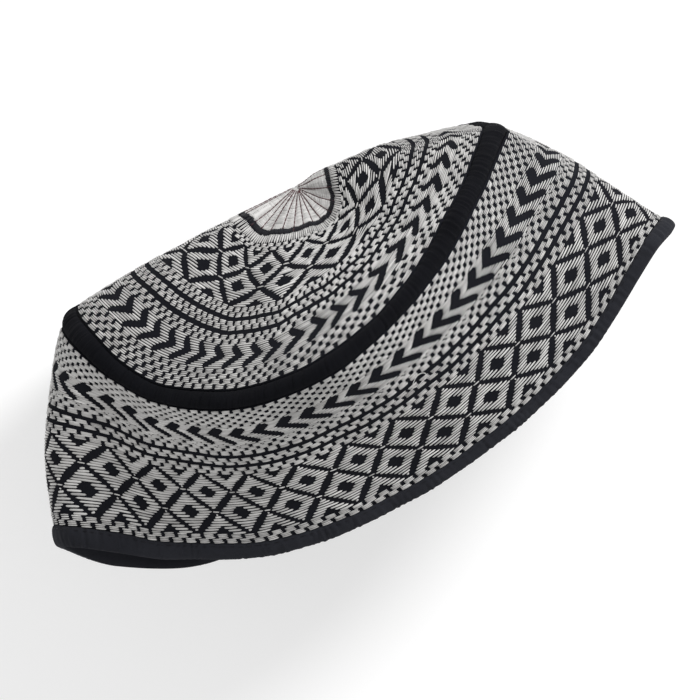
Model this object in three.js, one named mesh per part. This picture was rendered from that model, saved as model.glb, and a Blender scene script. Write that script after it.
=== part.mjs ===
// Embroidered kufi lying on its side, crown creased across and partly collapsed.
// Millimetres, +Z up. The cap rests on the back of its side band, with its mouth towards -Y
// and its round crown panel standing up at +Y. The origin is the middle of its footprint.

import * as THREE from "three";
import { mergeVertices } from "three/addons/utils/BufferGeometryUtils.js";

// Flat sizes of the sewn panels
const CROWN_RADIUS = 83.5;
const BAND_HEIGHT = 79.5;
const REPEATS = 28;

// Pieces, measured along the cloth from the middle of the crown
const MEDALLION_RADIUS = 21.7;
const PIPING_HALF_WIDTH = 3.9;
const BINDING_WIDTH = 6.5;
const SEAM_GAP = 0.4;

// Thickness of each piece
const CLOTH_THICKNESS = 1.8;
const MEDALLION_THICKNESS = 2.4;
const PIPING_THICKNESS = 3.2;
const BINDING_THICKNESS = 3.2;

// The bend at the crown's edge is rounded over this length on each side of the seam
const EDGE_ROUNDING = 6;

// The lowest cloth lies this far above the surface, so that its lower face is pressed flat on it.
// It leaves the surface in a smooth curve, within this height above and below where it would cross.
const LYING_HEIGHT = 0.8;
const LYING_ROUNDING = 12;

// The small creases of the crown grow from its middle over this length of cloth
const DOME_LENGTH = 12;

// Middle of the crown, and the shift that puts the origin under the middle of the cap
const HUB = [9.5, 71.8, 63];
const FOOTPRINT_CENTRE = [-0.4, 17.5];

// One row for each section through the cap, from the middle of the crown out to the rim.
// around: place round the cap in pattern repeats, 0 at the front and 14 at the back.
// The other columns are x, y, z of the cloth half way across the crown, at the crown's edge,
// half way down the band, and at the rim. Where z is negative, the cloth is pressed flat.
const SECTIONS = [
  { around: -14, crownHalf: [-5, 67, 36], edge: [-9, 58, -16], bandHalf: [-10, 18, -16], rim: [-7, -22, -16] },
  { around: -12, crownHalf: [-19, 67, 40], edge: [-44, 60, -6], bandHalf: [-48, 18, -9], rim: [-46, -27, -8] },
  { around: -10, crownHalf: [-29, 69, 50], edge: [-63, 65, 24], bandHalf: [-71, 20, 22], rim: [-76, -28, 26] },
  { around: -8, crownHalf: [-34, 72, 67], edge: [-75, 69, 55], bandHalf: [-92, 32, 44], rim: [-105, -14, 37] },
  { around: -7, crownHalf: [-35, 71, 77], edge: [-80, 68, 71], bandHalf: [-101, 40, 60], rim: [-117, -1, 53] },
  { around: -6, crownHalf: [-34, 67, 86], edge: [-78, 57, 88], bandHalf: [-100, 37, 76], rim: [-114, -1, 70] },
  { around: -5, crownHalf: [-32, 60, 87], edge: [-74, 44, 93], bandHalf: [-85, 24, 82], rim: [-101, -10, 76] },
  { around: -4, crownHalf: [-28, 53, 90], edge: [-64, 30, 101], bandHalf: [-73, 11, 91], rim: [-86, -20, 75] },
  { around: -2, crownHalf: [-14, 46, 98], edge: [-38, 16, 121], bandHalf: [-45, -6, 104], rim: [-49, -36, 80] },
  { around: 0, crownHalf: [1, 43, 99], edge: [-5, 14, 136], bandHalf: [-9, -11, 106], rim: [-8, -39, 82] },
  { around: 2, crownHalf: [16, 44, 96], edge: [30, 25, 132], bandHalf: [28, -6, 106], rim: [33, -35, 82] },
  { around: 4, crownHalf: [30, 52, 89], edge: [58, 43, 116], bandHalf: [63, 7, 96], rim: [72, -23, 81] },
  { around: 6, crownHalf: [37, 66, 80], edge: [77, 58, 92], bandHalf: [93, 27, 79], rim: [108, -2, 79] },
  { around: 7, crownHalf: [38, 70, 72], edge: [79, 60, 72], bandHalf: [99, 32, 64], rim: [117, 2, 64] },
  { around: 8, crownHalf: [37, 72, 63], edge: [75, 63, 54], bandHalf: [96, 32, 46], rim: [103, 2, 48] },
  { around: 10, crownHalf: [29, 69, 48], edge: [62, 65, 22], bandHalf: [69, 26, 18], rim: [72, -10, 23] },
  { around: 12, crownHalf: [12, 67, 39], edge: [27, 60, -11], bandHalf: [32, 20, -12], rim: [35, -20, -11] },
];

// How finely the pieces are faceted
const STEPS_AROUND = 84;
const CROWN_STEPS = 8;
const BAND_STEPS = 9;
const MEDALLION_STEPS = 4;
const BEAD_STEPS = 4;

const vector = (xyz) => new THREE.Vector3(...xyz);

// Section number i, counted round the cap as often as needed
function sectionAt(i) {
  const count = SECTIONS.length;
  const turns = Math.floor(i / count);
  const row = SECTIONS[i - turns * count];
  return { around: row.around + turns * REPEATS, row };
}

// A point of one named column, on a smooth closed curve through all the sections
function guidePoint(column, around) {
  const turned = around - REPEATS * Math.floor((around - SECTIONS[0].around) / REPEATS);
  let i = 0;
  while (sectionAt(i + 1).around <= turned) {
    i += 1;
  }
  const [before, start, end, after] = [i - 1, i, i + 1, i + 2].map(sectionAt);
  const span = end.around - start.around;
  const t = (turned - start.around) / span;
  const startSlope = vector(end.row[column])
    .sub(vector(before.row[column]))
    .multiplyScalar(span / (end.around - before.around));
  const endSlope = vector(after.row[column])
    .sub(vector(start.row[column]))
    .multiplyScalar(span / (after.around - start.around));
  return vector(start.row[column])
    .multiplyScalar(2 * t ** 3 - 3 * t ** 2 + 1)
    .addScaledVector(startSlope, t ** 3 - 2 * t ** 2 + t)
    .addScaledVector(vector(end.row[column]), 3 * t ** 2 - 2 * t ** 3)
    .addScaledVector(endSlope, t ** 3 - t ** 2);
}

// The smooth arc through three points at t = 0, 1/2 and 1
function arcThrough(start, middle, end, t) {
  return start
    .clone()
    .multiplyScalar((1 - t) * (1 - 2 * t))
    .addScaledVector(middle, 4 * t * (1 - t))
    .addScaledVector(end, t * (2 * t - 1));
}

// How a column of the crown turns round its middle: its mean offset from there, and the parts that
// go round it once (a tilt) and twice (a fold)
function turnsRoundHub(column) {
  const places = Array.from({ length: REPEATS }, (_, around) => around);
  const turns = { mean: new THREE.Vector3(), waves: [] };
  for (const around of places) {
    turns.mean.addScaledVector(guidePoint(column, around).sub(vector(HUB)), 1 / REPEATS);
  }
  for (const times of [1, 2]) {
    const wave = { times, cosine: new THREE.Vector3(), sine: new THREE.Vector3() };
    for (const around of places) {
      const angle = (2 * Math.PI * times * around) / REPEATS;
      const offset = guidePoint(column, around).sub(vector(HUB));
      wave.cosine.addScaledVector(offset, (2 * Math.cos(angle)) / REPEATS);
      wave.sine.addScaledVector(offset, (2 * Math.sin(angle)) / REPEATS);
    }
    turns.waves.push(wave);
  }
  return turns;
}

const HUB_TURNS = { crownHalf: turnsRoundHub("crownHalf"), edge: turnsRoundHub("edge") };

// A guide point as the smooth middle of the crown needs it. At the hub only the tilt and the fold are
// left, and the small creases come back with the distance from it.
function domedGuide(column, around, down) {
  const turns = HUB_TURNS[column];
  const folded = vector(HUB).add(turns.mean);
  for (const { times, cosine, sine } of turns.waves) {
    const angle = (2 * Math.PI * times * around) / REPEATS;
    folded.addScaledVector(cosine, Math.cos(angle)).addScaledVector(sine, Math.sin(angle));
  }
  return folded.lerp(guidePoint(column, around), Math.min(down / DOME_LENGTH, 1));
}

// The two panels as they meet at the sharp fold of the seam; down is measured from the crown's middle
function panelPoint(around, down) {
  const edge = guidePoint("edge", around);
  if (down <= CROWN_RADIUS) {
    const half = domedGuide("crownHalf", around, down);
    return arcThrough(vector(HUB), half, domedGuide("edge", around, down), down / CROWN_RADIUS);
  }
  const t = (down - CROWN_RADIUS) / BAND_HEIGHT;
  return arcThrough(edge, guidePoint("bandHalf", around), guidePoint("rim", around), t);
}

// Height of the cloth once it lies on the surface below
function lyingHeight(z) {
  const above = z - LYING_HEIGHT;
  if (above > LYING_ROUNDING) {
    return z;
  }
  return LYING_HEIGHT + Math.max(above + LYING_ROUNDING, 0) ** 2 / (4 * LYING_ROUNDING);
}

// Middle surface of the cloth, rounded over at the seam and lying on the surface below
function clothPoint(around, down) {
  const t = (down - CROWN_RADIUS + EDGE_ROUNDING) / (2 * EDGE_ROUNDING);
  let point = panelPoint(around, down);
  if (t > 0 && t < 1) {
    point = panelPoint(around, CROWN_RADIUS - EDGE_ROUNDING)
      .multiplyScalar((1 - t) ** 2)
      .addScaledVector(guidePoint("edge", around), 2 * t * (1 - t))
      .addScaledVector(panelPoint(around, CROWN_RADIUS + EDGE_ROUNDING), t ** 2);
  }
  point.z = lyingHeight(point.z);
  return point;
}

// Direction out of the cap, square to the cloth
function clothNormal(around, down) {
  const sideStep = 0.03;
  const downStep = 0.5;
  const place = Math.max(down, 2 * downStep);
  const along = clothPoint(around + sideStep, place).sub(clothPoint(around - sideStep, place));
  const across = clothPoint(around, place + downStep).sub(clothPoint(around, place - downStep));
  return across.cross(along).normalize();
}

// A point on a face of a piece, this far out of the cap from the middle of the cloth (into it where
// negative)
function facePoint(around, down, out) {
  const point = clothPoint(around, down).addScaledVector(clothNormal(around, down), out);
  point.z = Math.max(point.z, 0);
  point.x -= FOOTPRINT_CENTRE[0];
  point.y -= FOOTPRINT_CENTRE[1];
  return point;
}

// Closed solid from rings of points; each row of outline is {down, out}, in order round the section.
// With a middle the first and last ring close on one point each, and otherwise they join each other.
function solidAround(outline, middle) {
  const positions = [];
  const triangles = [];
  const rings = outline.length;
  for (const { down, out } of outline) {
    for (let k = 0; k < STEPS_AROUND; k += 1) {
      positions.push(...facePoint((k * REPEATS) / STEPS_AROUND, down, out).toArray());
    }
  }
  const corner = (ring, k) => (ring % rings) * STEPS_AROUND + (k % STEPS_AROUND);
  const joins = middle ? rings - 1 : rings;
  for (let ring = 0; ring < joins; ring += 1) {
    for (let k = 0; k < STEPS_AROUND; k += 1) {
      const [a, b] = [corner(ring, k), corner(ring, k + 1)];
      const [c, d] = [corner(ring + 1, k), corner(ring + 1, k + 1)];
      triangles.push(a, c, b, b, c, d);
    }
  }
  if (middle) {
    const top = positions.length / 3;
    positions.push(...facePoint(0, 0, middle.out).toArray());
    positions.push(...facePoint(0, 0, -middle.out).toArray());
    for (let k = 0; k < STEPS_AROUND; k += 1) {
      triangles.push(top, corner(0, k), corner(0, k + 1));
      triangles.push(top + 1, corner(rings - 1, k + 1), corner(rings - 1, k));
    }
  }
  const geometry = new THREE.BufferGeometry();
  geometry.setAttribute("position", new THREE.Float32BufferAttribute(positions, 3));
  geometry.setIndex(triangles);
  const merged = mergeVertices(geometry, 1e-4);
  merged.computeVertexNormals();
  return merged;
}

// Evenly spaced places from start to end
function spread(start, end, steps) {
  return Array.from({ length: steps + 1 }, (_, i) => start + ((end - start) * i) / steps);
}

// Outline of a panel of even thickness
function panelOutline(start, end, steps, thickness) {
  const places = spread(start, end, steps);
  const outer = places.map((down) => ({ down, out: thickness / 2 }));
  const inner = places.map((down) => ({ down, out: -thickness / 2 }));
  return [...outer, ...inner.reverse()];
}

// Outline of a tape that is rounded outside and flat inside
function tapeOutline(start, end, steps, thickness) {
  const outer = spread(0, Math.PI, steps).map((angle) => ({
    down: (start + end) / 2 - ((end - start) / 2) * Math.cos(angle),
    out: thickness * 0.6 * Math.sin(angle) ** 0.7,
  }));
  const inner = spread(end, start, 2).map((down) => ({ down, out: -thickness * 0.4 }));
  return [...outer, ...inner];
}

function piece(name, geometry, colour) {
  const material = new THREE.MeshStandardMaterial({ color: colour, roughness: 0.85, metalness: 0 });
  const mesh = new THREE.Mesh(geometry, material);
  mesh.name = name;
  return mesh;
}

function crownMedallion() {
  const places = spread(MEDALLION_RADIUS / MEDALLION_STEPS, MEDALLION_RADIUS, MEDALLION_STEPS - 1);
  const outer = places.map((down) => ({ down, out: MEDALLION_THICKNESS / 2 }));
  const inner = places.map((down) => ({ down, out: -MEDALLION_THICKNESS / 2 })).reverse();
  const geometry = solidAround([...outer, ...inner], { out: MEDALLION_THICKNESS / 2 });
  return piece("crown_medallion", geometry, 0xc6c4c1);
}

function crownCloth() {
  const start = MEDALLION_RADIUS + SEAM_GAP;
  const end = CROWN_RADIUS - PIPING_HALF_WIDTH - SEAM_GAP;
  const geometry = solidAround(panelOutline(start, end, CROWN_STEPS, CLOTH_THICKNESS));
  return piece("crown_cloth", geometry, 0x8f8f92);
}

function crownPiping() {
  const start = CROWN_RADIUS - PIPING_HALF_WIDTH;
  const end = CROWN_RADIUS + PIPING_HALF_WIDTH;
  const geometry = solidAround(tapeOutline(start, end, BEAD_STEPS, PIPING_THICKNESS));
  return piece("crown_piping", geometry, 0x1c1d22);
}

function sideBand() {
  const start = CROWN_RADIUS + PIPING_HALF_WIDTH + SEAM_GAP;
  const end = CROWN_RADIUS + BAND_HEIGHT - BINDING_WIDTH - SEAM_GAP;
  const geometry = solidAround(panelOutline(start, end, BAND_STEPS, CLOTH_THICKNESS));
  return piece("side_band", geometry, 0x8f8f92);
}

function rimBinding() {
  const start = CROWN_RADIUS + BAND_HEIGHT - BINDING_WIDTH;
  const end = CROWN_RADIUS + BAND_HEIGHT;
  const geometry = solidAround(tapeOutline(start, end, BEAD_STEPS, BINDING_THICKNESS));
  return piece("rim_binding", geometry, 0x1c1d22);
}

const kufi = new THREE.Group();
kufi.add(crownMedallion(), crownCloth(), crownPiping(), sideBand(), rimBinding());

export default kufi;
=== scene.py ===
"""An embroidered kufi lying on its side on a pale surface, dressed over its CAD frame.

The cloth's shape is the one that the CAD part uses: a smooth surface through a few sections.
Every stitch of the embroidery is a raised thread laid on that surface by a chart.
"""

import math

import bpy
import numpy as np
from mathutils import Euler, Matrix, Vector


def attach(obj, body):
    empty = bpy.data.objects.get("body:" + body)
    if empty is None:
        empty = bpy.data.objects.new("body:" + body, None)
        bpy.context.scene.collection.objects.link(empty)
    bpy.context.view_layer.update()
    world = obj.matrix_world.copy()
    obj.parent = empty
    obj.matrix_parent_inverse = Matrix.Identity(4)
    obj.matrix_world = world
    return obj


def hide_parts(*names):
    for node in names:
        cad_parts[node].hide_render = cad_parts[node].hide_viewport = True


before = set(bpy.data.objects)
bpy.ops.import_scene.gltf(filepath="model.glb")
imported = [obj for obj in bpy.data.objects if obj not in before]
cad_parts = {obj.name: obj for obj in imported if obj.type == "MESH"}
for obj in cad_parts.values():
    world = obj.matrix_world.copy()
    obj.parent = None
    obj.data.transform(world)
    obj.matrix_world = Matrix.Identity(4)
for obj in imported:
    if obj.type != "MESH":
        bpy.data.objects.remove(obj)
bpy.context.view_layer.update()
MM = 0.001

# Flat sizes of the sewn panels, in millimetres, as in the CAD part
CROWN_RADIUS = 83.5
BAND_HEIGHT = 79.5
REPEATS = 28
MEDALLION_RADIUS = 21.7
PIPING_HALF_WIDTH = 3.9
BINDING_WIDTH = 6.5
SEAM_GAP = 0.4
RIM = CROWN_RADIUS + BAND_HEIGHT

# Thickness of each piece
CLOTH_THICKNESS = 1.8
MEDALLION_THICKNESS = 2.4
TAPE_THICKNESS = 3.2

# The bend at the seam is rounded over this length, and the lowest cloth lies this high
EDGE_ROUNDING = 6
LYING_HEIGHT = 0.8
LYING_ROUNDING = 12

# The small creases of the crown grow from its middle, the hub, over this length of cloth
DOME_LENGTH = 12
HUB = (9.5, 71.8, 63)
FOOTPRINT_CENTRE = (-0.4, 17.5, 0)

# One row for each section through the cap. around: place round the cap in pattern repeats.
# Then x, y, z of the cloth half way across the crown, at its edge, half way down the band, at the rim.
SECTIONS = (
    (-14, (-5, 67, 36), (-9, 58, -16), (-10, 18, -16), (-7, -22, -16)),
    (-12, (-19, 67, 40), (-44, 60, -6), (-48, 18, -9), (-46, -27, -8)),
    (-10, (-29, 69, 50), (-63, 65, 24), (-71, 20, 22), (-76, -28, 26)),
    (-8, (-34, 72, 67), (-75, 69, 55), (-92, 32, 44), (-105, -14, 37)),
    (-7, (-35, 71, 77), (-80, 68, 71), (-101, 40, 60), (-117, -1, 53)),
    (-6, (-34, 67, 86), (-78, 57, 88), (-100, 37, 76), (-114, -1, 70)),
    (-5, (-32, 60, 87), (-74, 44, 93), (-85, 24, 82), (-101, -10, 76)),
    (-4, (-28, 53, 90), (-64, 30, 101), (-73, 11, 91), (-86, -20, 75)),
    (-2, (-14, 46, 98), (-38, 16, 121), (-45, -6, 104), (-49, -36, 80)),
    (0, (1, 43, 99), (-5, 14, 136), (-9, -11, 106), (-8, -39, 82)),
    (2, (16, 44, 96), (30, 25, 132), (28, -6, 106), (33, -35, 82)),
    (4, (30, 52, 89), (58, 43, 116), (63, 7, 96), (72, -23, 81)),
    (6, (37, 66, 80), (77, 58, 92), (93, 27, 79), (108, -2, 79)),
    (7, (38, 70, 72), (79, 60, 72), (99, 32, 64), (117, 2, 64)),
    (8, (37, 72, 63), (75, 63, 54), (96, 32, 46), (103, 2, 48)),
    (10, (29, 69, 48), (62, 65, 22), (69, 26, 18), (72, -10, 23)),
    (12, (12, 67, 39), (27, 60, -11), (32, 20, -12), (35, -20, -11)),
)

# Distance between threads in the bricks, the chevrons and the diamonds
THREAD_PITCH = 0.575
CHEVRON_PITCH = 0.76
DIAMOND_PITCH = 1.02
CROWN_DIAMOND_PITCH = 0.84
# Half a thread's width as a share of that distance, in the bricks and in the longer slashes
THREAD_WIDTH_SHARE = 0.34
SLASH_WIDTH_SHARE = 0.3
# Height of a thread, and how far its ends go into the cloth
THREAD_HEIGHT = 0.34
TIP_DEPTH = 0.15
# Nothing goes lower than this above the floor
LEAST_HEIGHT = 0.02

# How much fuller the threads lie than those shares say: share of a turn, added fullness
FULLNESS = ((-0.5, 0.35), (-0.3, 0.6), (-0.12, 0.6), (-0.04, 0.25), (0.03, 0.0), (0.25, 0.0), (0.5, 0.35))

# Where the band's chart lies on the cloth, measured down from the crown's middle
BAND_CHART_TOP = CROWN_RADIUS + 4
BAND_CHART_HEIGHT = 69

# How far the band's pattern is turned from the section numbers.
# One row for each place round the cap: pattern index, turn (both in repeats).
BAND_TURN = (
    (-14, 0.0), (-5, 0.0), (-3, -0.1), (-1, -0.2), (1, -0.27), (6, -0.29), (10, -0.15), (14, 0.0),
)
# How many repeats its columns lean from the top of the chart to its end, and the share of the
# height where they stand at their own place
BAND_SLANT = 0.6
BAND_SLANT_CENTRE = 0.69

# How far the band's pattern sags, as a share of the chart's height: place round the cap, sag.
BAND_SAG = ((-14, 0.0), (1.3, -0.02), (3.5, 0.0), (5.0, 0.02), (6.0, 0.04), (9, 0.0), (14, 0.0))

# How far the crown's pattern is turned. It has twelve repeats: index, turn in twelfths.
CROWN_REPEATS = 12
CROWN_TURN = (
    (-6, 0.0), (-4, 0.2), (-2.5, 0.22), (-1.5, 0.02), (-0.5, -0.08), (0.5, 0.02),
    (1, 0.26), (2, 0.37), (3, 0.4), (4, 0.2), (6, 0.0),
)
# How far its rings are drawn in: place round the cap in band repeats, share of the radius
CROWN_DRAW = (
    (-14, 0.0), (-7, 0.0), (-5.3, 0.025), (-4.2, 0.035), (-3, 0.0), (-1.4, 0.0), (-0.2, 0.04),
    (1.2, 0.065), (3.1, 0.08), (4.3, 0.045), (5.5, -0.02), (7, -0.04), (10, 0.0), (14, 0.0),
)
# They are drawn in between these shares of the radius, and pushed out by no more than the last
CROWN_DRAW_START = 0.26
CROWN_DRAW_END = 0.95
CROWN_MOST_OUT = -0.05

# Small soft waves of the cloth: size in millimetres, waves round the cap, lean, phase
UNEVENNESS = (
    (0.30, 5, 0.045, 0.4), (0.22, 9, -0.08, 1.9), (0.16, 17, 0.13, 3.1), (0.10, 31, -0.21, 0.8),
)
# They fade out towards the crown's middle within this length
UNEVENNESS_FADE = 15

random = np.random.default_rng(7)


def table_value(table, x, period):
    """Value of a two-column table at x, with the table repeated round the cap."""
    columns = np.array(table, float)
    return np.interp(x, columns[:, 0], columns[:, 1], period=period)


def guide_points(around):
    """The four guide points of the sections at these places round the cap, on smooth closed curves."""
    rows = np.array([row[0] for row in SECTIONS], float)
    points = np.array([row[1:] for row in SECTIONS], float)
    rows = np.concatenate([rows[-1:] - REPEATS, rows, rows[:2] + REPEATS])
    points = np.concatenate([points[-1:], points, points[:2]])
    first_row = SECTIONS[0][0]
    turned = (around - first_row) % REPEATS + first_row
    i = np.searchsorted(rows[1:-1], turned, "right")
    x0, x1, x2, x3 = (rows[i + k] for k in (-1, 0, 1, 2))
    p0, p1, p2, p3 = (points[i + k] for k in (-1, 0, 1, 2))
    span = x2 - x1
    t = ((turned - x1) / span)[:, None, None]
    slope1 = (p2 - p0) * (span / (x2 - x0))[:, None, None]
    slope2 = (p3 - p1) * (span / (x3 - x1))[:, None, None]
    return (
        (2 * t**3 - 3 * t**2 + 1) * p1
        + (t**3 - 2 * t**2 + t) * slope1
        + (3 * t**2 - 2 * t**3) * p2
        + (t**3 - t**2) * slope2
    )


def arc_through(start, middle, end, t):
    """The smooth arc through three points at t = 0, 1/2 and 1."""
    t = t[:, None]
    return start * (1 - t) * (1 - 2 * t) + 4 * middle * t * (1 - t) + end * t * (2 * t - 1)


def turns_round_hub():
    """How the crown's guide points turn round its middle: their mean offset from it, and the parts
    that go round it once (a tilt) and twice (a fold)."""
    around = np.arange(REPEATS, dtype=float)
    offsets = guide_points(around)[:, :2] - np.array(HUB, float)
    waves = []
    for times in (1, 2):
        angle = 2 * math.pi * times * around / REPEATS
        cosine = (offsets * np.cos(angle)[:, None, None]).sum(0) * 2 / REPEATS
        sine = (offsets * np.sin(angle)[:, None, None]).sum(0) * 2 / REPEATS
        waves.append((times, cosine, sine))
    return offsets.mean(0), waves


HUB_MEAN, HUB_WAVES = turns_round_hub()


def domed_guides(guides, around, down):
    """Guide points of the crown: the tilt and the fold go through the hub, the creases grow from it."""
    share = np.minimum(down / DOME_LENGTH, 1)[:, None, None]
    folded = np.array(HUB, float) + HUB_MEAN
    for times, cosine, sine in HUB_WAVES:
        angle = (2 * math.pi * times * around / REPEATS)[:, None, None]
        folded = folded + cosine * np.cos(angle) + sine * np.sin(angle)
    return folded * (1 - share) + guides[:, :2] * share


def panel_points(guides, around, down):
    """The two panels as they meet at the sharp fold of the seam."""
    hub = np.array(HUB, float)[None]
    domed = domed_guides(guides, around, down)
    crown = arc_through(hub, domed[:, 0], domed[:, 1], down / CROWN_RADIUS)
    band = arc_through(guides[:, 1], guides[:, 2], guides[:, 3], (down - CROWN_RADIUS) / BAND_HEIGHT)
    return np.where((down <= CROWN_RADIUS)[:, None], crown, band)


def cloth_points(around, down):
    """Middle of the cloth, in millimetres in the row frame, for places round and down the cap."""
    guides = guide_points(around)
    points = panel_points(guides, around, down)
    t = ((down - CROWN_RADIUS + EDGE_ROUNDING) / (2 * EDGE_ROUNDING))[:, None]
    above = panel_points(guides, around, np.full_like(down, CROWN_RADIUS - EDGE_ROUNDING))
    below = panel_points(guides, around, np.full_like(down, CROWN_RADIUS + EDGE_ROUNDING))
    rounded = above * (1 - t) ** 2 + guides[:, 1] * 2 * t * (1 - t) + below * t**2
    points = np.where((t > 0) & (t < 1), rounded, points)
    height = points[:, 2] - LYING_HEIGHT
    lying = LYING_HEIGHT + np.maximum(height + LYING_ROUNDING, 0) ** 2 / (4 * LYING_ROUNDING)
    points[:, 2] = np.where(height > LYING_ROUNDING, points[:, 2], lying)
    return points - np.array(FOOTPRINT_CENTRE, float)


def cloth_normals(around, down):
    """Direction out of the cap, square to the cloth."""
    side_step = 0.03
    down_step = 0.5
    place = np.maximum(down, 2 * down_step)
    along = cloth_points(around + side_step, place) - cloth_points(around - side_step, place)
    across = cloth_points(around, place + down_step) - cloth_points(around, place - down_step)
    normals = np.cross(across, along)
    return normals / np.linalg.norm(normals, axis=1, keepdims=True)


def unevenness(around, down):
    """Small soft waves of the cloth, in millimetres out of the cap."""
    turn = 2 * math.pi * around / REPEATS
    total = np.zeros_like(turn)
    for size, count, lean, phase in UNEVENNESS:
        total += size * np.sin(count * turn + lean * down + phase)
    return total * np.clip(down / UNEVENNESS_FADE, 0, 1)


class Grid:
    """The cloth sampled once on a fine grid, so that many stitches can be laid on it quickly."""

    around_steps = 1400
    down_step = 0.75

    def __init__(self):
        beyond = RIM + 3
        self.down_count = int(beyond / self.down_step) + 2
        around = np.arange(self.around_steps) * REPEATS / self.around_steps
        down = np.arange(self.down_count) * self.down_step
        a, d = (v.ravel() for v in np.meshgrid(around, down, indexing="ij"))
        shape = (self.around_steps, self.down_count, 3)
        normals = cloth_normals(a, d)
        points = cloth_points(a, d) + normals * unevenness(a, d)[:, None]
        self.points = points.reshape(shape)
        self.normals = normals.reshape(shape)

    def at(self, around, down, out):
        """Points this far out of the cloth's middle, in millimetres."""
        x = (around % REPEATS) * self.around_steps / REPEATS
        y = np.clip(down / self.down_step, 0, self.down_count - 1.001)
        i = np.floor(x).astype(int)
        j = np.floor(y).astype(int)
        s = (x - i)[:, None]
        t = (y - j)[:, None]
        i0 = i % self.around_steps
        i1 = (i + 1) % self.around_steps

        def blend(values):
            near = values[i0, j] * (1 - s) + values[i1, j] * s
            far = values[i0, j + 1] * (1 - s) + values[i1, j + 1] * s
            return near * (1 - t) + far * t

        points = blend(self.points) + blend(self.normals) * out[:, None]
        points[:, 2] = np.maximum(points[:, 2], LEAST_HEIGHT)
        return points


cloth = Grid()


def add_mesh(name, points_mm, faces, uv, shade, material):
    """A smooth mesh in the row frame. uv and shade have one value for each point."""
    mesh = bpy.data.meshes.new(name)
    faces = np.asarray(faces)
    sides = faces.shape[1]
    mesh.vertices.add(len(points_mm))
    mesh.vertices.foreach_set("co", (points_mm * MM).astype(np.float32).ravel())
    mesh.loops.add(faces.size)
    mesh.loops.foreach_set("vertex_index", faces.astype(np.int32).ravel())
    mesh.polygons.add(len(faces))
    mesh.polygons.foreach_set("loop_start", np.arange(0, faces.size, sides, dtype=np.int32))
    mesh.update(calc_edges=True)
    layer = mesh.uv_layers.new(name="UVMap")
    layer.data.foreach_set("uv", uv[faces.ravel()].astype(np.float32).ravel())
    attribute = mesh.attributes.new("shade", "FLOAT", "POINT")
    attribute.data.foreach_set("value", shade.astype(np.float32))
    mesh.polygons.foreach_set("use_smooth", np.ones(len(faces), dtype=bool))
    mesh.materials.append(material)
    mesh.validate()
    piece = bpy.data.objects.new(name, mesh)
    bpy.context.scene.collection.objects.link(piece)
    return piece


def principled(name, colour, roughness, sheen=0.0, specular=0.5):
    """A new material, its node tree and its Principled shader."""
    material = bpy.data.materials.new(name)
    material.use_nodes = True
    tree = material.node_tree
    shader = tree.nodes["Principled BSDF"]
    shader.inputs["Base Color"].default_value = (*colour, 1)
    shader.inputs["Roughness"].default_value = roughness
    shader.inputs["Sheen Weight"].default_value = sheen
    shader.inputs["Specular IOR Level"].default_value = specular
    return material, tree, shader


def link(tree, source, target):
    tree.links.new(source, target)


def add_node(tree, kind, **values):
    """A new node. values are its own settings, or else the values of its inputs."""
    node = tree.nodes.new(kind)
    for key, value in values.items():
        if hasattr(node, key):
            setattr(node, key, value)
        else:
            node.inputs[key].default_value = value
    return node


# Sockets of a Mix node that take and give colours
MIX_FIRST = 6
MIX_SECOND = 7
MIX_RESULT = 2


def mixed_colour(tree, factor, first, second):
    """A colour between two, by the given factor."""
    mix = add_node(tree, "ShaderNodeMix", data_type="RGBA")
    link(tree, factor, mix.inputs["Factor"])
    mix.inputs[MIX_FIRST].default_value = (*first, 1)
    mix.inputs[MIX_SECOND].default_value = (*second, 1)
    return mix.outputs[MIX_RESULT]


def weighted_sum(tree, first, weight, second):
    """first times weight, plus second."""
    total = add_node(tree, "ShaderNodeMath", operation="MULTIPLY_ADD")
    link(tree, first, total.inputs[0])
    total.inputs[1].default_value = weight
    link(tree, second, total.inputs[2])
    return total.outputs["Value"]


def add_bump(tree, shader, height, strength, distance):
    """Relief of the surface, from a height between 0 and 1. distance is in metres."""
    bump = add_node(tree, "ShaderNodeBump", Strength=strength, Distance=distance)
    link(tree, height, bump.inputs["Height"])
    link(tree, bump.outputs["Normal"], shader.inputs["Normal"])


def thread_material(name, dark, light, roughness, gloss):
    """Twisted thread: each stitch has a shade of its own, and the plies wind round it."""
    material, tree, shader = principled(name, light, roughness, specular=gloss)
    shade = add_node(tree, "ShaderNodeAttribute", attribute_name="shade")
    texture = add_node(tree, "ShaderNodeTexCoord")
    patches = add_node(tree, "ShaderNodeTexNoise", Scale=90.0, Detail=3.0)
    link(tree, texture.outputs["Object"], patches.inputs["Vector"])
    total = weighted_sum(tree, patches.outputs["Fac"], 0.3, shade.outputs["Fac"])
    link(tree, mixed_colour(tree, total, dark, light), shader.inputs["Base Color"])
    plies = add_node(tree, "ShaderNodeTexWave", Scale=1.1, Distortion=0.6, Detail=1.0)
    plies.bands_direction = "DIAGONAL"
    link(tree, texture.outputs["UV"], plies.inputs["Vector"])
    add_bump(tree, shader, plies.outputs["Fac"], 0.5, 0.1 * MM)
    return material


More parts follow.
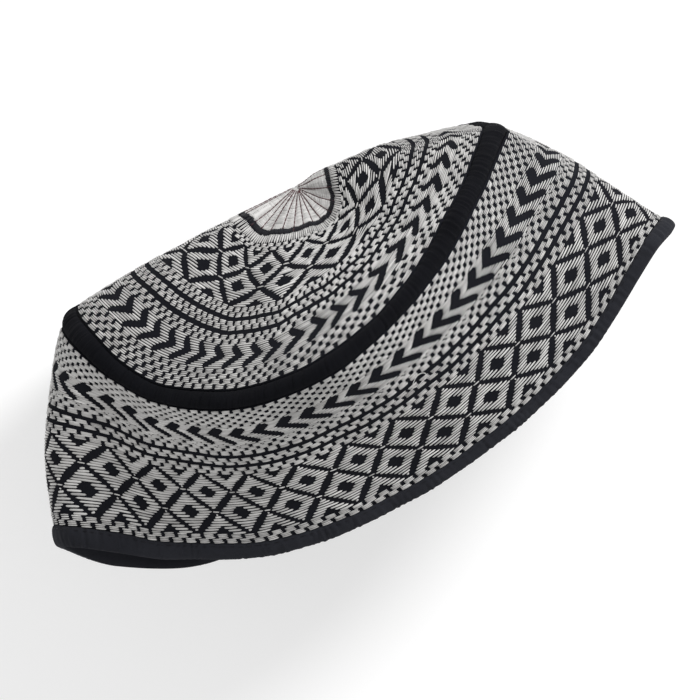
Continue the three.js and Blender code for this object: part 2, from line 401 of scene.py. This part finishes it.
def cloth_material(name, dark, light, weave_scale, weave_bump, fuzz):
    """Woven black cloth: two crossing sets of yarns, soft patches and a little fuzz."""
    material, tree, shader = principled(name, light, 0.88, sheen=fuzz, specular=0.04)
    shader.inputs["Sheen Roughness"].default_value = 0.5
    texture = add_node(tree, "ShaderNodeTexCoord")
    warp = add_node(tree, "ShaderNodeTexWave", Scale=weave_scale, Distortion=0.8, Detail=1.0)
    warp.bands_direction = "X"
    weft = add_node(tree, "ShaderNodeTexWave", Scale=weave_scale, Distortion=0.8, Detail=1.0)
    weft.bands_direction = "Y"
    for wave in (warp, weft):
        link(tree, texture.outputs["UV"], wave.inputs["Vector"])
    weave = add_node(tree, "ShaderNodeMath", operation="MULTIPLY")
    link(tree, warp.outputs["Fac"], weave.inputs[0])
    link(tree, weft.outputs["Fac"], weave.inputs[1])
    patches = add_node(tree, "ShaderNodeTexNoise", Scale=60.0, Detail=5.0, Roughness=0.6)
    link(tree, texture.outputs["Object"], patches.inputs["Vector"])
    total = weighted_sum(tree, weave.outputs["Value"], 0.5, patches.outputs["Fac"])
    link(tree, mixed_colour(tree, total, dark, light), shader.inputs["Base Color"])
    lint = add_node(tree, "ShaderNodeTexNoise", Scale=2600.0, Detail=2.0)
    link(tree, texture.outputs["Object"], lint.inputs["Vector"])
    height = weighted_sum(tree, lint.outputs["Fac"], 0.6, weave.outputs["Value"])
    add_bump(tree, shader, height, weave_bump, 0.2 * MM)
    return material


silver = thread_material(
    "silver_thread", dark=(0.38, 0.372, 0.366), light=(0.72, 0.71, 0.695), roughness=0.42, gloss=0.5
)
black_satin = thread_material(
    "black_satin", dark=(0.008, 0.008, 0.011), light=(0.014, 0.014, 0.018), roughness=0.5, gloss=0.15
)
maroon = thread_material(
    "maroon_thread", dark=(0.04, 0.008, 0.011), light=(0.08, 0.018, 0.022), roughness=0.5, gloss=0.3
)
ground = cloth_material(
    "black_cloth",
    dark=(0.006, 0.0063, 0.0085),
    light=(0.014, 0.0147, 0.019),
    weave_scale=0.7,
    weave_bump=0.7,
    fuzz=0.0,
)
piping_tape = cloth_material(
    "piping_tape",
    dark=(0.0018, 0.0019, 0.0026),
    light=(0.011, 0.0115, 0.015),
    weave_scale=1.1,
    weave_bump=1.0,
    fuzz=0.012,
)
binding_tape = cloth_material(
    "binding_tape",
    dark=(0.012, 0.0125, 0.0155),
    light=(0.034, 0.0355, 0.044),
    weave_scale=1.1,
    weave_bump=0.9,
    fuzz=0.03,
)


def round_places(count):
    """Evenly spaced places round the cap, in band repeats."""
    return np.arange(count) * REPEATS / count


def ring_faces(rings, steps, closed):
    """Quads that join rings of points, each closed on itself. closed joins the last ring to the first."""
    ring, k = np.meshgrid(np.arange(rings if closed else rings - 1), np.arange(steps), indexing="ij")
    ring = ring.ravel()
    k = k.ravel()
    after = (ring + 1) % rings
    turn = (k + 1) % steps
    return np.stack([ring * steps + k, after * steps + k, after * steps + turn, ring * steps + turn], 1)


def capped_faces(rings, steps):
    """Triangles of a piece made of rings of points, with one more point to close each end. Those two
    points come after the rings."""
    quads = ring_faces(rings, steps, False)
    k = np.arange(steps)
    turn = (k + 1) % steps
    last = (rings - 1) * steps
    end = np.full(steps, rings * steps)
    return np.concatenate(
        [
            quads[:, [0, 1, 2]],
            quads[:, [0, 2, 3]],
            np.stack([end, k, turn], 1),
            np.stack([end + 1, last + turn, last + k], 1),
        ]
    )


# Millimetres in one repeat of the band, for its texture coordinates
REPEAT_LENGTH = 2 * math.pi * 80 / REPEATS


def band_piece(name, outline, steps, material, relief=None):
    """A closed piece that runs round the cap. outline: rows of (down, out), in order round its section.
    relief changes out at each point, for tucks and wrinkles."""
    down, out = (np.array(column, float) for column in zip(*outline))
    d = np.repeat(down, steps)
    o = np.repeat(out, steps)
    a = np.tile(round_places(steps), len(down))
    if relief:
        o = relief(a, d, o)
    points = cloth.at(a, d, o)
    uv = np.stack([a * REPEAT_LENGTH, d], 1)
    shade = np.full(len(points), 0.5)
    return add_mesh(name, points, ring_faces(len(down), steps, True), uv, shade, material)


def panel_outline(start, end, steps, thickness):
    """Outline of a panel of even thickness."""
    places = np.linspace(start, end, steps + 1)
    outer = [(d, thickness / 2) for d in places]
    inner = [(d, -thickness / 2) for d in places[::-1]]
    return outer + inner


# Steps across the outer face of a tape, and round the cap
TAPE_SIDES = 12
TAPE_STEPS = 900


def tape_outline(start, end):
    """Outline of a tape that is rounded outside and flat inside."""
    angles = np.linspace(0, math.pi, TAPE_SIDES + 1)
    middle = (start + end) / 2
    half = (end - start) / 2
    outer = [(middle - half * math.cos(t), TAPE_THICKNESS * 0.6 * abs(math.sin(t)) ** 0.7) for t in angles]
    inner = [(d, -TAPE_THICKNESS * 0.4) for d in np.linspace(end, start, 4)]
    return outer + inner


# Section of a thread: across, as a share of its half width, and up, as a share of its height
THREAD_SECTION = ((-1.0, -0.35), (-0.55, 0.92), (0.55, 0.92), (1.0, -0.35))
# Along a thread: place, share of the width, and share of the height reached there
THREAD_PROFILE = ((0.13, 0.8, 0.75), (0.5, 1.0, 1.0), (0.87, 0.8, 0.75))


def stitch_mesh(name, starts, ends, material, width, height=THREAD_HEIGHT, base=CLOTH_THICKNESS / 2):
    """Raised closed threads from starts to ends, rows of (around, down). width is half a thread's
    width, and base is how far out of the cloth's middle it lies."""
    starts = np.asarray(starts, float)
    ends = np.asarray(ends, float)
    count = len(starts)
    widths = width * random.uniform(0.88, 1.12, count)
    heights = height * random.uniform(0.8, 1.25, count)
    shades = random.normal(0.35, 0.2, count)
    middle = (starts + ends) / 2
    lift = cloth.at(middle[:, 0], middle[:, 1], np.zeros(count))
    first = cloth.at(starts[:, 0], starts[:, 1], np.zeros(count))
    last = cloth.at(ends[:, 0], ends[:, 1], np.zeros(count))
    length = np.linalg.norm(lift - first, axis=1) + np.linalg.norm(last - lift, axis=1)
    rings = []
    ring_uv = []
    for place, broad, high in THREAD_PROFILE:
        at = starts * (1 - place) + ends * place
        ahead = starts * (1 - place - 0.05) + ends * (place + 0.05)
        out = np.full(count, base)
        here = cloth.at(at[:, 0], at[:, 1], out)
        raised = cloth.at(at[:, 0], at[:, 1], out + 1)
        onward = cloth.at(ahead[:, 0], ahead[:, 1], out) - here
        up = raised - here
        side = np.cross(onward, up)
        side /= np.maximum(np.linalg.norm(side, axis=1, keepdims=True), 1e-9)
        for k, (across, rise) in enumerate(THREAD_SECTION):
            point = here + side * (widths * broad * across)[:, None] + up * (heights * high * rise)[:, None]
            rings.append(point)
            ring_uv.append(np.stack([place * length, np.full(count, 0.3 * k)], 1))
    tips = []
    tip_uv = []
    for end, place in ((starts, 0.0), (ends, 1.0)):
        tips.append(cloth.at(end[:, 0], end[:, 1], np.full(count, base - TIP_DEPTH)))
        tip_uv.append(np.stack([place * length, np.full(count, 0.4)], 1))
    points = np.stack(tips[:1] + rings + tips[1:], 1)
    uv = np.stack(tip_uv[:1] + ring_uv + tip_uv[1:], 1)
    per = points.shape[1]
    sides = len(THREAD_SECTION)
    pattern = []
    for k in range(sides):
        turn = (k + 1) % sides
        pattern.append((0, 1 + turn, 1 + k))
        for ring in range(len(THREAD_PROFILE) - 1):
            a = 1 + ring * sides + k
            b = 1 + ring * sides + turn
            pattern.append((a, b, b + sides))
            pattern.append((a, b + sides, a + sides))
        low = 1 + (len(THREAD_PROFILE) - 1) * sides
        pattern.append((low + k, low + turn, per - 1))
    faces = (np.array(pattern)[None] + (np.arange(count) * per)[:, None, None]).reshape(-1, 3)
    points = points.reshape(-1, 3)
    points[:, 2] = np.maximum(points[:, 2], LEAST_HEIGHT)
    return add_mesh(name, points, faces, uv.reshape(-1, 2), np.repeat(shades, per), material)


# How far the end of a stitch strays, in repeats and in millimetres
STITCH_SCATTER = (0.0035, 0.03)
# How far along a thread that is split in two the two halves meet, beyond its middle
SPLIT_SHIFTS = (0.12, -0.08, 0.02)
LEAST_STITCH = 0.02


class Chart:
    """Collects stitches on one panel, laid out flat: the first number of a point is in the chart's
    repeats, and its row is in millimetres. place turns them into (around, down) on the cloth."""

    def __init__(self, repeats, place, longest):
        self.repeats = repeats
        self.place = place
        self.longest = longest
        self.starts = []
        self.ends = []
        self.widths = []

    def add(self, start, start_row, end, end_row, width):
        """Stitches repeated round the cap, from (start, start_row) to (end, end_row)."""
        for k in range(self.repeats):
            shift = random.normal(0, STITCH_SCATTER * 2)
            self.starts.append((start + k + shift[0], start_row + shift[1]))
            self.ends.append((end + k + shift[2], end_row + shift[3]))
            self.widths.append(width * (1 + table_value(FULLNESS, (start + k) / self.repeats, 1)))

    def fill(self, top, bottom, edges, pitch=THREAD_PITCH, width_share=THREAD_WIDTH_SHARE):
        """Fills rows from top to bottom. edges(row) gives the (start, end) pairs of one repeat.
        Each thread leans a little, as the needle steps on at one end only."""
        count = max(2, round((bottom - top) / pitch))
        step = (bottom - top) / count
        for i in range(count):
            row = top + (i + 0.5) * step
            lean = 0.2 * step
            for start, end in edges(row):
                self.split(start, row + lean, end, row - lean, i, step * width_share)

    def split(self, start, start_row, end, end_row, i, width):
        """One thread, or two that meet in the middle where it would be too long."""
        length = end - start
        if length < LEAST_STITCH:
            return
        if length <= self.longest:
            self.add(start, start_row, end, end_row, width)
            return
        share = 0.5 + SPLIT_SHIFTS[i % 3]
        middle = start + length * share
        row = (start_row + end_row) / 2
        self.add(start, start_row, middle, row, width)
        self.add(middle, row, end, end_row, width)

    def make(self, name):
        """One mesh of all the stitches, in silver thread."""
        starts = np.array(self.place(*np.array(self.starts).T)).T
        ends = np.array(self.place(*np.array(self.ends).T)).T
        return stitch_mesh(name, starts, ends, silver, np.array(self.widths))


def bricks(count, gap, offset, top, height, slant):
    """Edges of one row of bricks, count of them in each repeat, from row top on and height tall. Their
    ends lean: slant is in repeats for each millimetre of row. The outer threads of a brick are a
    little longer, so that the holes between bricks are round."""
    pitch = 1 / count

    def edges(row):
        shift = slant * (row - top)
        outer = abs((row - top) / height - 0.5) * 2
        longer = 0.22 * gap * outer**2
        found = []
        for k in range(count):
            start = (k + offset) * pitch + gap / 2
            end = (k + 1 + offset) * pitch - gap / 2
            found.append((start + shift - longer, end + shift + longer))
        return found

    return edges


def chevrons(count, apex, apex_row, black, upper, lower, taper):
    """Silver between black chevrons. apex: place of a black point. black: thickness of the black, in
    repeats. upper, lower: height of an arm, and how far back it goes for each millimetre; negative
    points the other way. taper: how late the arms thin towards their tips."""

    def edges(row):
        away = row - apex_row
        height, reach = lower if away > 0 else upper
        lean = reach * abs(away)
        thick = black * (1 - min(abs(away) / height, 1) ** taper)
        after, before = (thick, 0) if reach > 0 else (0, thick)
        return [
            ((k + apex) / count + lean + after, (k + 1 + apex) / count + lean - before) for k in range(count)
        ]

    return edges


def lattice(rows, half_height, line, core):
    """Silver rings of a diamond lattice. rows: (middle row, offset) for each row of diamonds.
    line: share of a diamond's half width left black at its edge. core: share that is black inside."""

    def edges(row):
        found = []
        for middle, offset in rows:
            away = abs(row - middle) / half_height
            outer = max(0.5 * (1 - line - away), 0)
            inner = 0.5 * (core - away)
            if inner > 0:
                found.append((offset - outer, offset - inner))
                found.append((offset + inner, offset + outer))
            else:
                found.append((offset - outer, offset + outer))
        return found

    return edges


def band_place(index, row):
    """Place on the cloth of a point of the band's chart. row is in millimetres down the chart."""
    share = row / BAND_CHART_HEIGHT
    turn = table_value(BAND_TURN, index, REPEATS) + BAND_SLANT * (share - BAND_SLANT_CENTRE)
    around = index + turn
    sag = table_value(BAND_SAG, around, REPEATS) * 4 * share * (1 - share)
    return around, BAND_CHART_TOP + (share + sag) * BAND_CHART_HEIGHT


def crown_place(index, row):
    """Place on the cloth of a point of the crown's chart. row is in millimetres from its middle."""
    share = row / CROWN_RADIUS
    around = (index + table_value(CROWN_TURN, index, CROWN_REPEATS)) * REPEATS / CROWN_REPEATS
    reach = CROWN_DRAW_END - CROWN_DRAW_START
    hump = 4 * (share - CROWN_DRAW_START) * (CROWN_DRAW_END - share) / reach**2
    draw = np.maximum(table_value(CROWN_DRAW, around, REPEATS) * hump, CROWN_MOST_OUT)
    return around, (share - draw * (share > CROWN_DRAW_START)) * CROWN_RADIUS


# The longest thread of a brick or a chevron, in repeats of the chart
LONGEST_BRICK = 0.4
BRICK_ROW = 3 * THREAD_PITCH

# Groups of rows of bricks, each row set half a brick along from the one before: first row, how many,
# height of each, bricks in a repeat, gap in repeats, offset of the first in bricks, slant of the ends
BAND_DOTS = (
    (0.7, 6, BRICK_ROW, 4, 0.056, 0.0, 0.0),
    (22.2, 1, BRICK_ROW, 2, 0.056, 0.74, 0.0),
    (22.2 + BRICK_ROW, 2, BRICK_ROW, 4, 0.056, 0.0, 0.0),
    (22.2 + 3 * BRICK_ROW, 1, BRICK_ROW / 3, 4, 0.04, 0.5, 0.0),
)
BAND_BRICKS = (
    (29.9, 2, 1.68, 4, 0.042, 0.0, 0.012),
    (35.0, 2, 1.72, 4, 0.046, 0.25, 0.0),
    (65.45, 2, 1.75, 4, 0.05, 0.25, 0.0),
)
CROWN_DOTS = (
    (71.9, 4, 1.75, 8, 0.029, 0.0, 0.0),
    (59.3, 2, 1.8, 8, 0.03, 0.0, 0.0),
    (24.0, 2, 1.4, 4, 0.06, 0.0, 0.0),
)
CROWN_BRICKS = (
    (54.1, 2, 1.8, 8, 0.022, 0.0, 0.008),
    (48.9, 2, 1.85, 8, 0.024, 0.25, 0.0),
)


def brick_piece(name, repeats, place, groups):
    """Rows of bricks, in the groups of a table."""
    chart = Chart(repeats, place, LONGEST_BRICK)
    for top, count, height, per_repeat, gap, offset, slant in groups:
        for k in range(count):
            start = top + k * height
            shift = offset + (0.5 if k % 2 else 0)
            chart.fill(start, start + height, bricks(per_repeat, gap, shift, start, height, slant))
    return chart.make(name)


def band_chevrons():
    """The row of chevrons round the band, two in a repeat."""
    chart = Chart(REPEATS, band_place, LONGEST_BRICK)
    edges = chevrons(2, 0.02, apex_row=16.0, black=0.25, upper=(4.4, 0.052), lower=(5.9, 0.088), taper=5)
    chart.fill(11.1, 22.2, edges, CHEVRON_PITCH, SLASH_WIDTH_SHARE)
    return chart.make("band_chevrons")


def crown_chevrons():
    """The row of chevrons near the crown's edge, four in a repeat. Their arms point the other way."""
    chart = Chart(CROWN_REPEATS, crown_place, LONGEST_BRICK)
    edges = chevrons(4, 0.25, apex_row=67.2, black=0.105, upper=(4.2, -0.036), lower=(4.4, -0.05), taper=3)
    chart.fill(62.9, 71.9, edges, CHEVRON_PITCH, SLASH_WIDTH_SHARE)
    return chart.make("crown_chevrons")


# The diamonds: the chart row where the first of four rows has its middle, and half their height
LATTICE_TOP = 38.6
LATTICE_HALF_HEIGHT = 8.95
LATTICE_MIDDLE = LATTICE_TOP + 1.5 * LATTICE_HALF_HEIGHT
LATTICE_END = LATTICE_TOP + 3 * LATTICE_HALF_HEIGHT
CROWN_LATTICE_TOP = 26.8
CROWN_LATTICE_END = 48.9
CROWN_HALF_HEIGHT = 7.35


def lattice_rows(top, half_height):
    """Middle row and offset of each of the four rows of diamonds."""
    return [(top + k * half_height, 0.5 if k % 2 == 0 else 0.0) for k in range(4)]


def band_lattice(name, top, bottom):
    """One row of diamonds, with the halves of its neighbours, and a stitch where two diamonds meet."""
    chart = Chart(REPEATS, band_place, 0.62)
    rows = lattice_rows(LATTICE_TOP, LATTICE_HALF_HEIGHT)
    edges = lattice(rows, LATTICE_HALF_HEIGHT, line=0.11, core=0.31)
    chart.fill(top, bottom, edges, DIAMOND_PITCH, SLASH_WIDTH_SHARE)
    for middle, offset in rows[1:3]:
        if top < middle < bottom:
            chart.add(offset + 0.43, middle, offset + 0.57, middle, 0.16)
    return chart.make(name)


def crown_lattice():
    """Two rows of diamonds round the crown, and a stitch where two diamonds meet."""
    chart = Chart(CROWN_REPEATS, crown_place, 0.6)
    rows = lattice_rows(CROWN_LATTICE_TOP, CROWN_HALF_HEIGHT)
    edges = lattice(rows, CROWN_HALF_HEIGHT, line=0.14, core=0.33)
    chart.fill(CROWN_LATTICE_TOP, CROWN_LATTICE_END, edges, CROWN_DIAMOND_PITCH, SLASH_WIDTH_SHARE)
    for middle, offset in rows[1:3]:
        chart.add(offset + 0.42, middle, offset + 0.58, middle, 0.15)
    return chart.make("crown_lattice")


# The rosette: its satin and black rings, its own radius, and its sectors
RING_OUTER = 23.6
RING_INNER = 20.4
ROSETTE_RADIUS = 18.3
ROSETTE_SECTORS = 26


def satin_ring(name, inner, outer, material, base, width, height, count=300):
    """Radial stitches side by side, in zigzag pairs."""
    around = round_places(count)
    starts = np.stack([around, np.full(count, inner) + random.normal(0, 0.12, count)], 1)
    lean = np.where(np.arange(count) % 2, 0.35, -0.35) * REPEATS / count
    ends = np.stack([around + lean, np.full(count, outer) + random.normal(0, 0.15, count)], 1)
    return stitch_mesh(name, starts, ends, material, width, height, base)


def rosette():
    """Silver satin between radial lines: threads run round, from one line to the next."""
    starts = []
    ends = []
    rows = np.arange(1.2, ROSETTE_RADIUS, 0.55)
    wide = REPEATS / ROSETTE_SECTORS
    shortest = 0.6
    for sector in range(ROSETTE_SECTORS):
        for i, down in enumerate(rows):
            lean = 0.1 if i % 2 else -0.1
            gap = 0.02 + 0.12 / down
            if wide * (1 - 2 * gap) * down < shortest:
                continue
            wobble = random.normal(0, 0.012, 2)
            starts.append(((sector + gap) * wide + wobble[0], down - lean))
            ends.append(((sector + 1 - gap) * wide + wobble[1], down + lean))
    pad = MEDALLION_THICKNESS / 2
    return stitch_mesh("rosette_threads", starts, ends, silver, 0.24, 0.24, pad)


def rosette_lines():
    """Dark threads along the radial lines, lower than the silver beside them."""
    starts = []
    ends = []
    for sector in range(ROSETTE_SECTORS):
        around = sector * REPEATS / ROSETTE_SECTORS
        places = np.arange(1.6, ROSETTE_RADIUS + 0.4, 1.7)
        for start in places:
            starts.append((around, start))
            ends.append((around, start + 1.9))
    pad = MEDALLION_THICKNESS / 2 + 0.05
    return stitch_mesh("rosette_lines", starts, ends, maroon, 0.2, 0.22, pad)


def disc(name, radius, low, high, material):
    """A closed disc in the middle of the crown, from low to high above the cloth's middle."""
    steps = 168
    places = list(np.linspace(0.6, radius, 24))
    top = [(d, high) for d in places]
    under = [(d, low) for d in places[::-1]]
    down, out = (np.array(column, float) for column in zip(*(top + under)))
    a = np.tile(round_places(steps), len(down))
    d = np.repeat(down, steps)
    points = cloth.at(a, d, np.repeat(out, steps))
    middles = [points[:steps].mean(0), points[-steps:].mean(0)]
    points = np.concatenate([points, np.array(middles)])
    uv = np.concatenate([np.stack([a * 4, d], 1), np.zeros((2, 2))])
    return add_mesh(name, points, capped_faces(len(down), steps), uv, np.full(len(points), 0.3), material)


def tucks(seed, size, count, waves=14):
    """Fine wrinkles across a tape: waves of up to count round the cap, on its outer face."""
    source = np.random.default_rng(seed)
    counts = source.integers(count // 3, count, waves)
    phases = source.uniform(0, 2 * math.pi, waves)
    leans = source.uniform(-0.25, 0.25, waves)

    def relief(around, down, out):
        turn = 2 * math.pi * around / REPEATS
        wave = np.zeros_like(turn)
        for k in range(waves):
            wave += np.sin(counts[k] * turn + phases[k] + leans[k] * (down - CROWN_RADIUS))
        return out + wave * size / math.sqrt(waves) * np.clip(out, 0, 1)

    return relief


def binding_stitches():
    """A line of black stitches round the cap, just inside the upper edge of the binding."""
    circumference = 540
    length = 2.4
    gap = 0.6
    count = round(circumference / (length + gap))
    around = round_places(count)
    span = length / (length + gap) * REPEATS / count
    down = RIM - BINDING_WIDTH + 1.0
    shift = random.normal(0, 0.1, (count, 2))
    starts = np.stack([around, down + shift[:, 0]], 1)
    ends = np.stack([around + span, down + shift[:, 1]], 1)
    return stitch_mesh("binding_stitches", starts, ends, black_satin, 0.16, 0.16, 1.5)


# The loose loop: its middle, half its width in repeats and in millimetres, and its thread
LOOP_AROUND = 1.35
LOOP_DOWN = BAND_CHART_TOP + 0.4 * BAND_CHART_HEIGHT
LOOP_HALF_WIDTH = 0.155
LOOP_HALF_HEIGHT = 1.9
LOOP_THREAD_RADIUS = 0.14


def loose_loop():
    """A pulled thread that stands off the cloth in a small loop."""
    steps = 40
    sides = 6
    angle = np.linspace(0.25, 2 * math.pi + 0.1, steps)
    around = LOOP_AROUND + LOOP_HALF_WIDTH * np.cos(angle) + 0.02 * np.sin(2 * angle)
    down = LOOP_DOWN + LOOP_HALF_HEIGHT * np.sin(angle)
    out = 1.5 + 0.9 * np.sin(angle / 2) ** 2
    line = cloth.at(around, down, out)
    out_of = cloth.at(around, down, out + 1) - line
    ahead = np.gradient(line, axis=0)
    side = np.cross(ahead, out_of)
    side /= np.linalg.norm(side, axis=1, keepdims=True)
    rings = []
    for k in range(sides):
        turn = 2 * math.pi * k / sides
        rings.append(line + LOOP_THREAD_RADIUS * (side * math.cos(turn) + out_of * math.sin(turn)))
    points = np.stack(rings, 1).reshape(-1, 3)
    points = np.concatenate([points, line[:1], line[-1:]])
    uv = np.zeros((len(points), 2))
    return add_mesh("loose_loop", points, capped_faces(steps, sides), uv, np.full(len(points), 0.4), silver)


def keep(piece, slot_name, *nodes):
    """The piece belongs to the cap's one body, and stands for these CAD nodes."""
    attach(piece, "root")
    if nodes:
        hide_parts(*nodes)
    return piece


def cloth_panel(name, start, end, rows, steps):
    """A black panel from start to end down the cloth, in this many rows and steps round the cap."""
    return band_piece(name, panel_outline(start, end, rows, CLOTH_THICKNESS), steps, ground)


def tape(name, start, end, material, relief):
    """A tape from start to end down the cloth, with its wrinkles."""
    return band_piece(name, tape_outline(start, end), TAPE_STEPS, material, relief)


# How far a panel reaches under the tape beside it, into the gap that the CAD part leaves
UNDER_TAPE = 0.2
band_start = CROWN_RADIUS + PIPING_HALF_WIDTH + SEAM_GAP - UNDER_TAPE
band_end = RIM - BINDING_WIDTH - SEAM_GAP + UNDER_TAPE
crown_start = MEDALLION_RADIUS + SEAM_GAP
crown_end = CROWN_RADIUS - PIPING_HALF_WIDTH - SEAM_GAP + UNDER_TAPE
piping_start = CROWN_RADIUS - PIPING_HALF_WIDTH
piping_end = CROWN_RADIUS + PIPING_HALF_WIDTH
pad_top = MEDALLION_THICKNESS / 2

band_cloth = keep(cloth_panel("band_panel", band_start, band_end, 40, 420), "black_cloth", "side_band")
crown_cloth = keep(cloth_panel("crown_panel", crown_start, crown_end, 36, 336), "black_cloth", "crown_cloth")
keep(
    disc("medallion_pad", MEDALLION_RADIUS + SEAM_GAP, -pad_top, pad_top, ground),
    "silver_thread",
    "crown_medallion",
)
keep(disc("rosette_padding", ROSETTE_RADIUS - 0.2, pad_top - 0.2, pad_top + 0.03, silver), "silver_thread")
keep(
    tape("piping_tape", piping_start, piping_end, piping_tape, tucks(3, 0.2, 420)),
    "black_tape",
    "crown_piping",
)
keep(
    tape("binding_tape", RIM - BINDING_WIDTH, RIM, binding_tape, tucks(5, 0.2, 360)),
    "black_tape",
    "rim_binding",
)

keep(brick_piece("band_dots", REPEATS, band_place, BAND_DOTS), "silver_thread")
keep(band_chevrons(), "silver_thread")
keep(brick_piece("band_bricks", REPEATS, band_place, BAND_BRICKS), "silver_thread")
keep(band_lattice("band_diamonds_upper", LATTICE_TOP, LATTICE_MIDDLE), "silver_thread")
keep(band_lattice("band_diamonds_lower", LATTICE_MIDDLE, LATTICE_END), "silver_thread")
keep(brick_piece("crown_dots", CROWN_REPEATS, crown_place, CROWN_DOTS), "silver_thread")
keep(crown_chevrons(), "silver_thread")
keep(brick_piece("crown_bricks", CROWN_REPEATS, crown_place, CROWN_BRICKS), "silver_thread")
keep(crown_lattice(), "silver_thread")
keep(
    satin_ring("satin_ring", RING_OUTER - 3.4, RING_OUTER + 0.5, silver, base=1.15, width=0.2, height=0.25),
    "silver_thread",
)
keep(
    satin_ring(
        "black_ring",
        ROSETTE_RADIUS - 0.2,
        RING_INNER + 0.3,
        black_satin,
        base=1.2,
        width=0.34,
        height=0.3,
    ),
    "black_cloth",
)
keep(rosette(), "silver_thread")
keep(rosette_lines(), "black_cloth")
keep(loose_loop(), "silver_thread")
keep(binding_stitches(), "black_tape")

# The camera looks straight down from far away, turned so that the cap lies as in the photo.
# The picture's width is measured at RISE above the floor.
RISE = 0.07
CAMERA_DISTANCE = 3.2
PICTURE_WIDTH = 0.2373
PICTURE_CENTRE = (0.0009, -0.0023)
CAMERA_ROLL = -27.08

# Soft light from all round, and two lamps: name, place, width, power
SKY_STRENGTH = 0.5
LAMPS = (("key", (0.95, 0.42, 0.85), 0.4, 15), ("fill", (-0.9, -0.5, 1.1), 1.2, 3))
LAMP_AIM = (0, 0, 0.06)

# The floor is lit a little from below, as a light table is, so that shadows on it stay pale
FLOOR_GLOW = 0.52
FLOOR_COLOUR = (0.55, 0.55, 0.55)
FLOOR_DARK = (0.545, 0.545, 0.545)
FLOOR_LIGHT = (0.555, 0.555, 0.555)


def add_floor():
    """The pale floor, with a faint grain."""
    material, tree, shader = principled("pale_floor", FLOOR_COLOUR, 0.9, specular=0.1)
    shader.inputs["Emission Color"].default_value = (1, 1, 1, 1)
    shader.inputs["Emission Strength"].default_value = FLOOR_GLOW
    texture = add_node(tree, "ShaderNodeTexCoord")
    grain = add_node(tree, "ShaderNodeTexNoise", Scale=30.0, Detail=3.0)
    link(tree, texture.outputs["Object"], grain.inputs["Vector"])
    colours = mixed_colour(tree, grain.outputs["Fac"], FLOOR_DARK, FLOOR_LIGHT)
    link(tree, colours, shader.inputs["Base Color"])
    bpy.ops.mesh.primitive_plane_add(size=6, location=(0, 0, -0.0003))
    floor = bpy.context.object
    floor.name = "floor"
    floor.data.materials.append(material)


def add_lamp(name, place, size, power):
    """A round soft lamp, turned to the cap."""
    light = bpy.data.lights.new(name, "AREA")
    light.shape = "DISK"
    light.size = size
    light.energy = power
    lamp = bpy.data.objects.new(name, light)
    lamp.location = place
    lamp.rotation_mode = "QUATERNION"
    lamp.rotation_quaternion = (Vector(LAMP_AIM) - Vector(place)).to_track_quat("-Z", "Y")
    bpy.context.scene.collection.objects.link(lamp)


def add_camera():
    """The photo's camera."""
    camera_data = bpy.data.cameras.new("camera")
    camera_data.lens = camera_data.sensor_width * CAMERA_DISTANCE / PICTURE_WIDTH
    camera_data.clip_start = 0.1
    camera_data.clip_end = 20
    camera = bpy.data.objects.new("camera", camera_data)
    camera.location = (*PICTURE_CENTRE, RISE + CAMERA_DISTANCE)
    camera.rotation_euler = Euler((0, 0, math.radians(CAMERA_ROLL)))
    bpy.context.scene.collection.objects.link(camera)
    bpy.context.scene.camera = camera


def add_world():
    """White light from all round."""
    world = bpy.data.worlds.new("studio")
    world.use_nodes = True
    background = world.node_tree.nodes["Background"]
    background.inputs["Color"].default_value = (1, 1, 1, 1)
    background.inputs["Strength"].default_value = SKY_STRENGTH
    bpy.context.scene.world = world


add_floor()
for lamp_row in LAMPS:
    add_lamp(*lamp_row)
add_camera()
add_world()
scene = bpy.context.scene
scene.view_settings.view_transform = "Standard"
scene.view_settings.look = "None"
